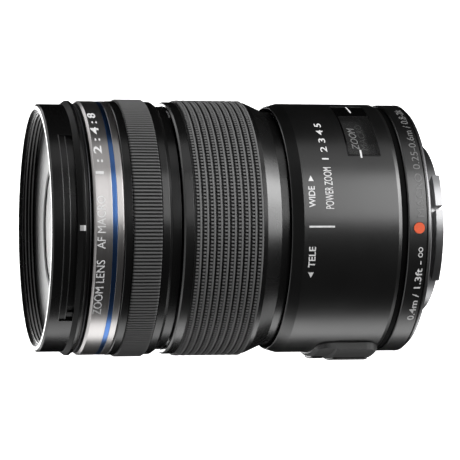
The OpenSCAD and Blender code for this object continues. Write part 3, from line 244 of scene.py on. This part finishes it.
def vary_roughness(mat, fac, rough):
    spread = new_node(mat, "ShaderNodeMapRange", From_Min=NOISE_LOW, From_Max=NOISE_HIGH,
                      To_Min=rough[0], To_Max=rough[1])
    link(mat, fac, spread.inputs["Value"])
    link(mat, spread.outputs["Result"], surface(mat).inputs["Roughness"])


def vary_color(mat, fac, dark, light):
    ramp = new_node(mat, "ShaderNodeValToRGB")
    for i, (place, color) in enumerate([(NOISE_LOW, dark), (NOISE_HIGH, light)]):
        ramp.color_ramp.elements[i].position = place
        ramp.color_ramp.elements[i].color = (*color, 1.0)
    link(mat, fac, ramp.inputs["Fac"])
    link(mat, ramp.outputs["Color"], surface(mat).inputs["Base Color"])


def bump(mat, fac, strength, depth_mm):
    """Fine relief over edges that are rounded by EDGE_MM, so that they catch the light."""
    rounding = new_node(mat, "ShaderNodeBevel", Radius=EDGE_MM * MM)
    rounding.samples = EDGE_SAMPLES
    relief = new_node(mat, "ShaderNodeBump", Strength=strength, Distance=depth_mm * MM)
    link(mat, rounding.outputs["Normal"], relief.inputs["Normal"])
    link(mat, fac, relief.inputs["Height"])
    link(mat, relief.outputs["Normal"], surface(mat).inputs["Normal"])


def grey(value):
    return (value, value, value)


def shade(color, factor):
    return tuple(c * factor for c in color)


def moulded(name, color, rough, specular=0.5, strength=0.1):
    """Satin moulded or painted surface with a fine grain."""
    mat = shader(name, color, rough[1], Specular_IOR_Level=specular)
    broad = noise(mat, "patchy")
    vary_roughness(mat, broad, rough)
    vary_color(mat, broad, shade(color, 0.9), shade(color, 1.1))
    bump(mat, noise(mat, "grain"), strength, GRAIN_DEPTH)
    return mat


def matt(name, color, specular=0.5):
    """Matt grained surface, whose colour is yet to be varied."""
    mat = shader(name, color, 0.6, Specular_IOR_Level=specular)
    vary_roughness(mat, noise(mat, "rubber_patchy"), (0.5, 0.62))
    bump(mat, noise(mat, "rubber_grain"), 0.2, GRAIN_DEPTH)
    return mat


def rubber(name, color, specular):
    mat = matt(name, color, specular)
    vary_color(mat, noise(mat, "rubber_tint"), shade(color, 0.85), shade(color, 1.15))
    return mat


def radius_share(mat, root, tip):
    """Factor that runs from 0 at the root radius round the axis to 1 at the tip radius, in mm."""
    coords = new_node(mat, "ShaderNodeTexCoord")
    across = new_node(mat, "ShaderNodeVectorMath")
    across.operation = "MULTIPLY"
    across.inputs[1].default_value = (1.0, 0.0, 1.0)
    radius = new_node(mat, "ShaderNodeVectorMath")
    radius.operation = "LENGTH"
    height = new_node(mat, "ShaderNodeMapRange", From_Min=root * MM, From_Max=tip * MM)
    link(mat, coords.outputs["Object"], across.inputs[0])
    link(mat, across.outputs["Vector"], radius.inputs[0])
    link(mat, radius.outputs["Value"], height.inputs["Value"])
    return height.outputs["Result"]


def rubber_with_painted_groove_shade(name, grip, dark, light):
    """Rubber of a grip painted near black at the groove roots and paler at the tips, a painted shade of the
    grooves.
    """
    mat = matt(name, light)
    # Painted shade: the colour darkens from the tips down to the groove roots
    vary_color(mat, radius_share(mat, grip["root"], grip["tip"]), dark, light)
    return mat


def turned_metal(name, color, rough):
    """Metal with fine marks that run round the axis, which spread its sheen along the axis."""
    mat = shader(name, color, rough[1], metallic=1.0, Anisotropic=0.65, Anisotropic_Rotation=0.25)
    around = new_node(mat, "ShaderNodeTangent")
    around.direction_type = "RADIAL"
    around.axis = "Y"
    link(mat, around.outputs["Tangent"], surface(mat).inputs["Tangent"])
    marks = noise(mat, "turning", TURNED)
    vary_roughness(mat, marks, rough)
    vary_color(mat, marks, shade(color, 0.94), color)
    bump(mat, marks, 0.1, TURNED_DEPTH)
    return mat


def plain_metal(name, color, rough):
    mat = shader(name, color, rough[1], metallic=1.0)
    smear = noise(mat, "smear")
    vary_roughness(mat, smear, rough)
    vary_color(mat, smear, shade(color, 0.92), color)
    return mat


def coated_glass(name):
    """Optical glass with a faint warm coating."""
    mat = shader(name, (0.95, 0.9, 0.92), 0.02, IOR=1.6, Transmission_Weight=1.0, Coat_Weight=1.0,
                 Coat_Roughness=0.45, Coat_IOR=1.6, Sheen_Weight=0.4, Sheen_Roughness=0.3)
    vary_roughness(mat, noise(mat, "glass_haze"), (0.015, 0.03))
    return mat


def smoked_clear(name):
    mat = shader(name, grey(0.03), 0.12, Alpha=0.3)
    vary_roughness(mat, noise(mat, "clear_haze"), (0.08, 0.16))
    return mat


def satin_ring(name, color):
    """Ring face that looks paler the more it is seen from the side."""
    mat = shader(name, color, 0.3, Specular_IOR_Level=0.7, Sheen_Weight=0.5, Sheen_Roughness=0.3)
    smear = noise(mat, "smear")
    vary_roughness(mat, smear, (0.4, 0.5))
    vary_color(mat, smear, shade(color, 0.9), color)
    return mat


def paint(name, color):
    """Printed or filled marking."""
    mat = shader(name, color, 0.5)
    worn = noise(mat, "wear")
    vary_color(mat, worn, shade(color, 0.85), color)
    vary_roughness(mat, worn, (0.42, 0.55))
    return mat


BLACK = grey(0.003)
MATERIALS = {
    "satin_black": moulded("satin_black", BLACK, (0.29, 0.33), specular=0.9),
    "collar_black": moulded("collar_black", BLACK, (0.24, 0.28)),
    "retainer_black": satin_ring("retainer_black", grey(0.04)),
    "ring_black": moulded("ring_black", BLACK, (0.25, 0.29), specular=0.8),
    # The grip rubbers carry a painted shade: near black at the groove roots, paler at the tips
    "zoom_rubber": rubber_with_painted_groove_shade("zoom_rubber", ZOOM_GRIP, grey(0.002), grey(0.13)),
    "focus_rubber": rubber_with_painted_groove_shade("focus_rubber", FOCUS_GRIP, grey(0.003), grey(0.1)),
    "button_black": moulded("button_black", grey(0.008), (0.3, 0.36), specular=0.7),
    "seal_rubber": rubber("seal_rubber", grey(0.002), 0.05),
    "satin_silver": turned_metal("satin_silver", (0.49, 0.473, 0.468), (0.31, 0.35)),
    "stripe_blue": turned_metal("stripe_blue", (0.07, 0.16, 0.4), (0.27, 0.31)),
    "chrome": plain_metal("chrome", (0.3, 0.3, 0.305), (0.3, 0.36)),
    "dot_red": paint("dot_red", (0.8, 0.1, 0.02)),
    "window_clear": smoked_clear("window_clear"),
    "label_grey": moulded("label_grey", grey(0.03), (0.4, 0.5)),
    "coated_glass": coated_glass("coated_glass"),
    "inner_black": moulded("inner_black", grey(0.01), (0.6, 0.7)),
    "tube_grey": turned_metal("tube_grey", (0.1, 0.1, 0.105), (0.4, 0.5)),
    "steel": plain_metal("steel", (0.55, 0.55, 0.56), (0.22, 0.32)),
    "brass": turned_metal("brass", (0.72, 0.5, 0.2), (0.25, 0.35)),
    "gold": plain_metal("gold", (0.9, 0.65, 0.25), (0.15, 0.25)),
    "board_green": moulded("board_green", (0.01, 0.06, 0.02), (0.4, 0.5)),
}

# Nodes with a finish of their own
FINISHES = {"button_pod": moulded("pod_black", grey(0.05), (0.42, 0.48))}

# Finishes of pieces that differ from their slot's
# Black with little sheen for the sheet on the lip's slope, a painted shade
LIP_SHADE_BLACK = moulded("lip_shade_black", BLACK, (0.4, 0.5), specular=0.12)
# Light grey paint for the button's rim, a painted highlight of its polished chamfer
RIM_PAINTED_HIGHLIGHT = paint("rim_painted_highlight", grey(0.5))

# Inks and trims of the marks, and the painted highlights of the recess edges: slot and finish
INKS = {
    "white": ("satin_silver", paint("mark_white", grey(0.8))),
    "pale": ("label_grey", paint("mark_pale", grey(0.16))),
    # Lighter grey and glossier than the collar: painted highlights on the edges of the hood recesses
    "edge": ("collar_black", moulded("edge_painted_highlight", grey(0.025), (0.3, 0.36), specular=1.0)),
    "gloss": ("button_black", moulded("window_mask", grey(0.002), (0.1, 0.14), specular=0.4, strength=0.02)),
}

for part in frame["record"]["subparts"]:
    for holder in frame["nodes"][part["node"]].material_slots:
        holder.material = FINISHES.get(part["node"], MATERIALS[part["material_slot"]])


# Pieces that ride on the model

def add_piece(mesh, body, slot, material=None):
    """Links a mesh in the lens frame as a piece of a body, in its slot's finish if no other is given."""
    mesh.materials.append(material or MATERIALS[slot])
    piece = bpy.data.objects.new(mesh.name, mesh)
    bpy.context.scene.collection.objects.link(piece)
    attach(piece, body)
    return piece


def tidy_mesh(mesh):
    """Joins double points and turns all faces outwards."""
    shape = bmesh.new()
    shape.from_mesh(mesh)
    bmesh.ops.remove_doubles(shape, verts=shape.verts, dist=1e-7)
    bmesh.ops.recalc_face_normals(shape, faces=shape.faces)
    shape.to_mesh(mesh)
    shape.free()
    return mesh


def new_mesh(name, verts, faces):
    mesh = bpy.data.meshes.new(name)
    mesh.from_pydata(verts, [], faces)
    return tidy_mesh(mesh)


def loop_faces(loops, count):
    """Faces from each closed loop of points to the next, and from the last one back to the first."""
    faces = []
    for i in range(loops):
        for j in range(count):
            near, far = i * count, (i + 1) % loops * count
            on = (j + 1) % count
            faces.append((near + j, near + on, far + on, far + j))
    return faces


def closed_sleeve(name, angles, rows):
    """Mesh of a ring whose closed section runs through rows of (u, radius for each angle)."""
    verts = [at(u, r, a) for u, radii in rows for a, r in zip(angles, radii)]
    return new_mesh(name, verts, loop_faces(len(rows), len(angles)))


def ridge_columns(profile):
    """Angles of the points round a grip, and at each the share of a ridge's full height."""
    step = 360.0 / RIDGE_COUNT
    angles = [step * (i + place) for i in range(RIDGE_COUNT) for place, _ in profile]
    heights = [height for _ in range(RIDGE_COUNT) for _, height in profile]
    return angles, heights


def zoom_band_rows(u, pitch, heights):
    """Rows of one band: a plain rib at its rear and a comb of teeth ahead of it."""
    g, b, count = ZOOM_GRIP, ZOOM_BAND, len(heights)
    root, edge, tip = [g["root"]] * count, [g["tip"] - b["bevel_drop"]] * count, [g["tip"]] * count
    teeth = [g["root"] + b["foot"] + (g["tip"] - g["root"] - b["less"]) * h for h in heights]
    low_teeth = [r - b["slope_drop"] * h for r, h in zip(teeth, heights)]
    rib, comb = b["rib"] * pitch, b["comb"] * pitch
    return [(u, root), (u + b["wall"], edge), (u + b["bevel"], tip), (u + rib, tip),
            (u + rib + b["wall"], teeth), (u + rib + comb - b["slope"], teeth),
            (u + rib + comb, low_teeth), (u + rib + comb + b["wall"], root)]


def zoom_grip_mesh():
    """Toothed bands side by side on a thin sleeve."""
    g = ZOOM_GRIP
    angles, heights = ridge_columns(ZOOM_TOOTH)
    pitch = (g["u1"] - g["u0"]) / g["bands"]
    rows = [(g["u0"], [g["r_in"]] * len(angles))]
    for i in range(g["bands"]):
        rows += zoom_band_rows(g["u0"] + pitch * i, pitch, heights)
    rows += [(g["u1"], [g[r]] * len(angles)) for r in ("root", "r_in")]
    return closed_sleeve("zoom_grip_comb", angles, rows)


def focus_grip_mesh():
    """Straight ridges along the axis with bevelled ends."""
    g, e = FOCUS_GRIP, FOCUS_END
    angles, heights = ridge_columns(FOCUS_RIDGE)
    inside, foot = [g["r_in"]] * len(angles), [g["root"] - e["sunk"]] * len(angles)
    ridges = [g["root"] + (g["tip"] - g["root"]) * h for h in heights]
    ends = [g["root"] + (g["tip"] - g["root"]) * e["share"] * h for h in heights]
    rows = [(g["u0"], inside), (g["u0"], foot), (g["u0"] + e["step"], ends), (g["u0"] + e["bevel"], ridges),
            (g["u1"] - e["bevel"], ridges), (g["u1"] - e["step"], ends), (g["u1"], foot), (g["u1"], inside)]
    return closed_sleeve("focus_grip_ridges", angles, rows)


def thread_mesh():
    """Filter thread: a helical crest on a thin sleeve that lines the bore."""
    t = THREAD
    back = [t["r"]] * len(RING_ANGLES)
    steps = int((t["u1"] - t["u0"]) / t["pitch"] * t["points"])
    rows = [(t["u0"], back)]
    for i in range(steps + 1):
        u = t["u0"] + (t["u1"] - t["u0"]) * i / steps
        crest = [abs(2 * ((u / t["pitch"] + a / 360.0) % 1.0) - 1) for a in RING_ANGLES]
        rows.append((u, [t["r"] - t["wall"] - t["depth"] * c for c in crest]))
    rows.append((t["u1"], back))
    return closed_sleeve("filter_thread_crest", RING_ANGLES, rows)


def plain_ring(name, section):
    """Ring with the same section of (u, r) all round."""
    return closed_sleeve(name, RING_ANGLES, [(u, [r] * len(RING_ANGLES)) for u, r in section])


def rounded_outline(u0, u1, half, corner):
    """Rounded rectangle as points of (u, distance to the side)."""
    points = []
    for u, side, start in ((u1, 1, 0), (u0, 1, 90), (u0, -1, 180), (u1, -1, 270)):
        middle = (u + (corner if u == u0 else -corner), side * (half - corner))
        for step in range(0, 91, CORNER_STEP):
            a = math.radians(start + step)
            points.append((middle[0] + corner * math.cos(a), middle[1] + corner * math.sin(a)))
    return points


def button_rim_mesh():
    """Thin frame round the top of the function button, bent with it round the axis, painted light grey as a
    painted highlight of the button's chamfer.
    """
    b = BUTTON_RIM
    wide, low, top = b["wide"], b["r"] - SUNK, b["r"] + PROUD
    outer = rounded_outline(b["u0"], b["u1"], b["half"], b["corner"])
    inner = rounded_outline(b["u0"] + wide, b["u1"] - wide, b["half"] - wide, b["corner"] - wide)
    loops = [(outer, low), (outer, top), (inner, top), (inner, low)]
    verts = []
    for loop, r in loops:
        verts += [at(u, r, BUTTON_THETA - math.degrees(math.asin(side / r))) for u, side in loop]
    return new_mesh("function_button_rim", verts, loop_faces(len(loops), len(outer)))


def cap_height(ball_r, r):
    """Height of a ball's cap over a circle of radius r."""
    return ball_r - math.sqrt(ball_r * ball_r - r * r)


def glass_profile():
    """Section of the front glass as (u, r), from dome round to hollow, and its two ends on the axis."""
    low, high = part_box("front_glass")
    front, rear, edge = -low[1] / MM, -high[1] / MM, high[0] / MM
    hollow = edge - GLASS_RIM
    bottom = rear + cap_height(HOLLOW_R, hollow)
    dome = [edge * (i + 1) / GLASS_RINGS for i in range(GLASS_RINGS)]
    cup = [hollow * (GLASS_RINGS - i) / GLASS_RINGS for i in range(GLASS_RINGS)]
    profile = [(front - cap_height(DOME_R, r), r) for r in dome] + [(rear, edge)]
    profile += [(bottom - cap_height(HOLLOW_R, r), r) for r in cup]
    return profile, front, bottom


def glass_mesh():
    """Front glass turned round the axis, between the ends of the model's own glass."""
    profile, front, bottom = glass_profile()
    steps, last = GLASS_STEPS, len(profile) - 1
    verts = [at(u, r, 360.0 * j / steps) for u, r in profile for j in range(steps)]
    verts += [at(front, 0.0, 0.0), at(bottom, 0.0, 0.0)]
    faces = []
    for j in range(steps):
        k = (j + 1) % steps
        for i in range(last):
            faces.append((i * steps + j, i * steps + k, (i + 1) * steps + k, (i + 1) * steps + j))
        faces.append((j, k, len(verts) - 2))
        faces.append((last * steps + j, last * steps + k, len(verts) - 1))
    mesh = new_mesh("front_glass_dome", verts, faces)
    mesh.shade_smooth()
    mesh.set_sharp_from_angle(angle=math.radians(GLASS_SHARP))
    return mesh


zoom_comb = add_piece(zoom_grip_mesh(), "zoom_ring", "zoom_rubber")
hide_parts("zoom_grip")
focus_ridges = add_piece(focus_grip_mesh(), "focus_ring", "focus_rubber")
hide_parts("focus_grip")
front_dome = add_piece(glass_mesh(), "barrel", "coated_glass")
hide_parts("front_glass")
add_piece(thread_mesh(), "barrel", "collar_black")
add_piece(plain_ring("seam_cover", SEAM_COVER), "barrel", "seal_rubber")
add_piece(plain_ring("seam_bead", SEAM_BEAD), "barrel", "tube_grey")
# Painted shade: matt black sheet over the slope of the collar's lip
add_piece(plain_ring("lip_shade_cover", LIP_SHADE_COVER), "barrel", "collar_black", LIP_SHADE_BLACK)
# Painted shade: matt black line in place of the shade of a groove near the base's rear edge
add_piece(plain_ring("base_groove_shade", BASE_GROOVE_SHADE), "barrel", "seal_rubber")
# Painted highlight: light grey rim round the function button
add_piece(button_rim_mesh(), "function_button", "button_black", RIM_PAINTED_HIGHLIGHT)


# Printed marks, and painted highlights on the recess edges

def text_mesh(name, text, bold, slant):
    """Flat text of one unit's depth as a mesh."""
    curve = bpy.data.curves.new(name, "FONT")
    curve.body = text
    curve.extrude = 0.5
    curve.offset = bold
    curve.shear = slant
    curve.resolution_u = LETTER_CURVE_STEPS
    holder = bpy.data.objects.new(name, curve)
    bpy.context.scene.collection.objects.link(holder)
    graph = bpy.context.evaluated_depsgraph_get()
    mesh = bpy.data.meshes.new_from_object(holder.evaluated_get(graph))
    bpy.data.objects.remove(holder)
    bpy.data.curves.remove(curve)
    mesh.materials.clear()
    return mesh


def letters(name, text, u, height, span, r, bold, slant):
    """Raised lettering that reads towards +theta over the span of two angles, with its feet at u."""
    mesh = text_mesh(name, text, bold, slant)
    xs, ys = [v.co.x for v in mesh.vertices], [v.co.y for v in mesh.vertices]
    left, low = min(xs), min(ys)
    wide, tall = max(xs) - left, max(ys) - low
    for v in mesh.vertices:
        theta = span[0] + (span[1] - span[0]) * (v.co.x - left) / wide
        level = r + PROUD if v.co.z > 0 else r - SUNK
        v.co = at(u + height * (v.co.y - low) / tall, level, theta)
    return tidy_mesh(mesh)


def prism(name, outline, r):
    """Small raised plate with an outline of (u, theta) points."""
    count = len(outline)
    verts = [at(u, level, a) for level in (r - SUNK, r + PROUD) for u, a in outline]
    faces = [tuple(range(count)), tuple(range(count, 2 * count))]
    faces += [(i, (i + 1) % count, count + (i + 1) % count, count + i) for i in range(count)]
    return new_mesh(name, verts, faces)


def patch(name, us, span, r, r_ahead=None):
    """Raised band between two u over a span of two angles, bent round the lens; it may slope to r_ahead."""
    ahead = r if r_ahead is None else r_ahead
    section = [(us[0], r - SUNK), (us[1], ahead - SUNK), (us[1], ahead + PROUD), (us[0], r + PROUD)]
    steps = max(1, round(abs(span[1] - span[0]) / 2))
    angles = [span[0] + (span[1] - span[0]) * i / steps for i in range(steps + 1)]
    verts = [at(u, level, a) for a in angles for u, level in section]
    faces = []
    for k in range(0, 4 * steps, 4):
        faces += [(k + j, k + (j + 1) % 4, k + 4 + (j + 1) % 4, k + 4 + j) for j in range(4)]
    faces += [(0, 1, 2, 3), tuple(4 * steps + j for j in range(4))]
    return new_mesh(name, verts, faces)


def add_mark(mesh, ink, body="barrel"):
    slot, material = INKS[ink]
    add_piece(mesh, body, slot, material)


def add_marks():
    for name, us, span, r, ink in PLATES:
        add_mark(patch(name, us, span, r), ink)
    h = HOOD_MARK
    add_mark(patch("hood_mark_front", h["us"], h["span"], LIP_R, LIP_R - h["drop"]), "white")
    for name, outline in ARROWS:
        add_mark(prism(name, outline, BARREL_R), "white")
    for name, text, u, height, span, r, bold, slant, ink, body in WORDS:
        add_mark(letters(name, text, u, height, span, r, bold, slant), ink, body)


def paint_recess_highlights():
    """Lines painted lighter and glossier than the collar along the edges of the recesses for a hood, on both
    sides of the collar, as painted highlights.
    """
    e = RECESS_ENDS
    for side, middle in RECESS_SIDES.items():
        span = (middle - e["half"], middle + e["half"])
        for name, (u, r, wide) in RECESS_EDGES.items():
            add_mark(patch("recess_%s_%s" % (name, side), (u, u + wide), span, r), "edge")
        end_span = (span[0] - e["wide"], span[0])
        add_mark(patch("recess_end_" + side, (e["u0"], e["u1"]), end_span, e["r"]), "edge")


add_marks()
paint_recess_highlights()


# Floor, light and camera

def add_plane(name, corners, material):
    """Sheet of the studio, which isn't part of the lens."""
    mesh = bpy.data.meshes.new(name)
    mesh.from_pydata(corners, [], [(0, 1, 2, 3)])
    mesh.materials.append(material)
    plane = bpy.data.objects.new(name, mesh)
    bpy.context.scene.collection.objects.link(plane)
    return plane


def floor_material():
    """White floor that takes shadow, with a pale glow that camera, glossy and transmission rays see."""
    mat = shader("floor_white", grey(0.8), 0.9)
    path = new_node(mat, "ShaderNodeLightPath")
    seen = path.outputs["Is Camera Ray"]
    for name in ("Is Glossy Ray", "Is Transmission Ray"):
        either = new_node(mat, "ShaderNodeMath")
        either.operation = "MAXIMUM"
        link(mat, seen, either.inputs[0])
        link(mat, path.outputs[name], either.inputs[1])
        seen = either.outputs["Value"]
    glow = new_node(mat, "ShaderNodeEmission")
    link(mat, seen, glow.inputs["Strength"])
    both = new_node(mat, "ShaderNodeAddShader")
    link(mat, surface(mat).outputs["BSDF"], both.inputs[0])
    link(mat, glow.outputs["Emission"], both.inputs[1])
    link(mat, both.outputs["Shader"], mat.node_tree.nodes["Material Output"].inputs["Surface"])
    return mat


def make_floor():
    half = FLOOR_SIZE / 2
    corners = [(-half, -half), (half, -half), (half, half), (-half, half)]
    add_plane("floor", [(x, y, FLOOR_Z) for x, y in corners], floor_material())


def make_flag(name, outer, inner, y0, y1):
    """Black card beside the lens that darkens reflections in its flanks."""
    corners = [(outer[0], y0, outer[1]), (inner[0], y0, inner[1]),
               (inner[0], y1, inner[1]), (outer[0], y1, outer[1])]
    card = add_plane(name, corners, moulded(name + "_black", grey(0.002), (0.8, 0.9), specular=0.0))
    card.visible_camera = False
    card.visible_diffuse = False
    card.visible_shadow = False
    card.visible_transmission = False


def soft_box(name, azimuth, rear, distance, size, radiance):
    """Rectangular lamp that faces the lens."""
    a, b = math.radians(azimuth), math.radians(rear)
    out = Vector((-math.sin(a) * math.cos(b), math.sin(b), math.cos(a) * math.cos(b)))
    across = Vector((math.cos(a), 0.0, math.sin(a)))
    along = out.cross(across)
    lamp = bpy.data.lights.new(name, "AREA")
    lamp.shape = "RECTANGLE"
    lamp.size, lamp.size_y = size
    lamp.energy = radiance * math.pi * size[0] * size[1]
    holder = bpy.data.objects.new(name, lamp)
    turn = Matrix((across, along, out)).transposed()
    holder.matrix_world = Matrix.Translation(LENS_MIDDLE + out * distance) @ turn.to_4x4()
    holder.visible_camera = False
    bpy.context.scene.collection.objects.link(holder)


def make_world():
    """Faint even light from all round."""
    world = bpy.data.worlds.new("studio")
    world.use_nodes = True
    bpy.context.scene.world = world
    background = world.node_tree.nodes["Background"]
    set_inputs(background, {"Color": (1.0, 1.0, 1.0, 1.0), "Strength": WORLD_LEVEL})


def make_camera():
    lens = bpy.data.cameras.new("camera")
    lens.sensor_width = SENSOR_MM
    lens.lens = FOCAL_PX / IMAGE_PX * SENSOR_MM
    lens.shift_y = -CENTRE_UP_PX / IMAGE_PX
    camera = bpy.data.objects.new("camera", lens)
    tilt = math.radians(CAMERA_TILT)
    right = Vector((0.0, math.cos(tilt), math.sin(tilt)))
    up = Vector((-1.0, 0.0, 0.0))
    back = right.cross(up)
    camera.matrix_world = Matrix((right, up, back)).transposed().to_4x4()
    camera.location = CAMERA_AT
    bpy.context.scene.collection.objects.link(camera)
    bpy.context.scene.camera = camera


make_floor()
for flag in FLAGS:
    make_flag(*flag)
for box in SOFT_BOXES:
    soft_box(*box)
make_world()
make_camera()

bpy.context.scene.view_settings.view_transform = "Standard"
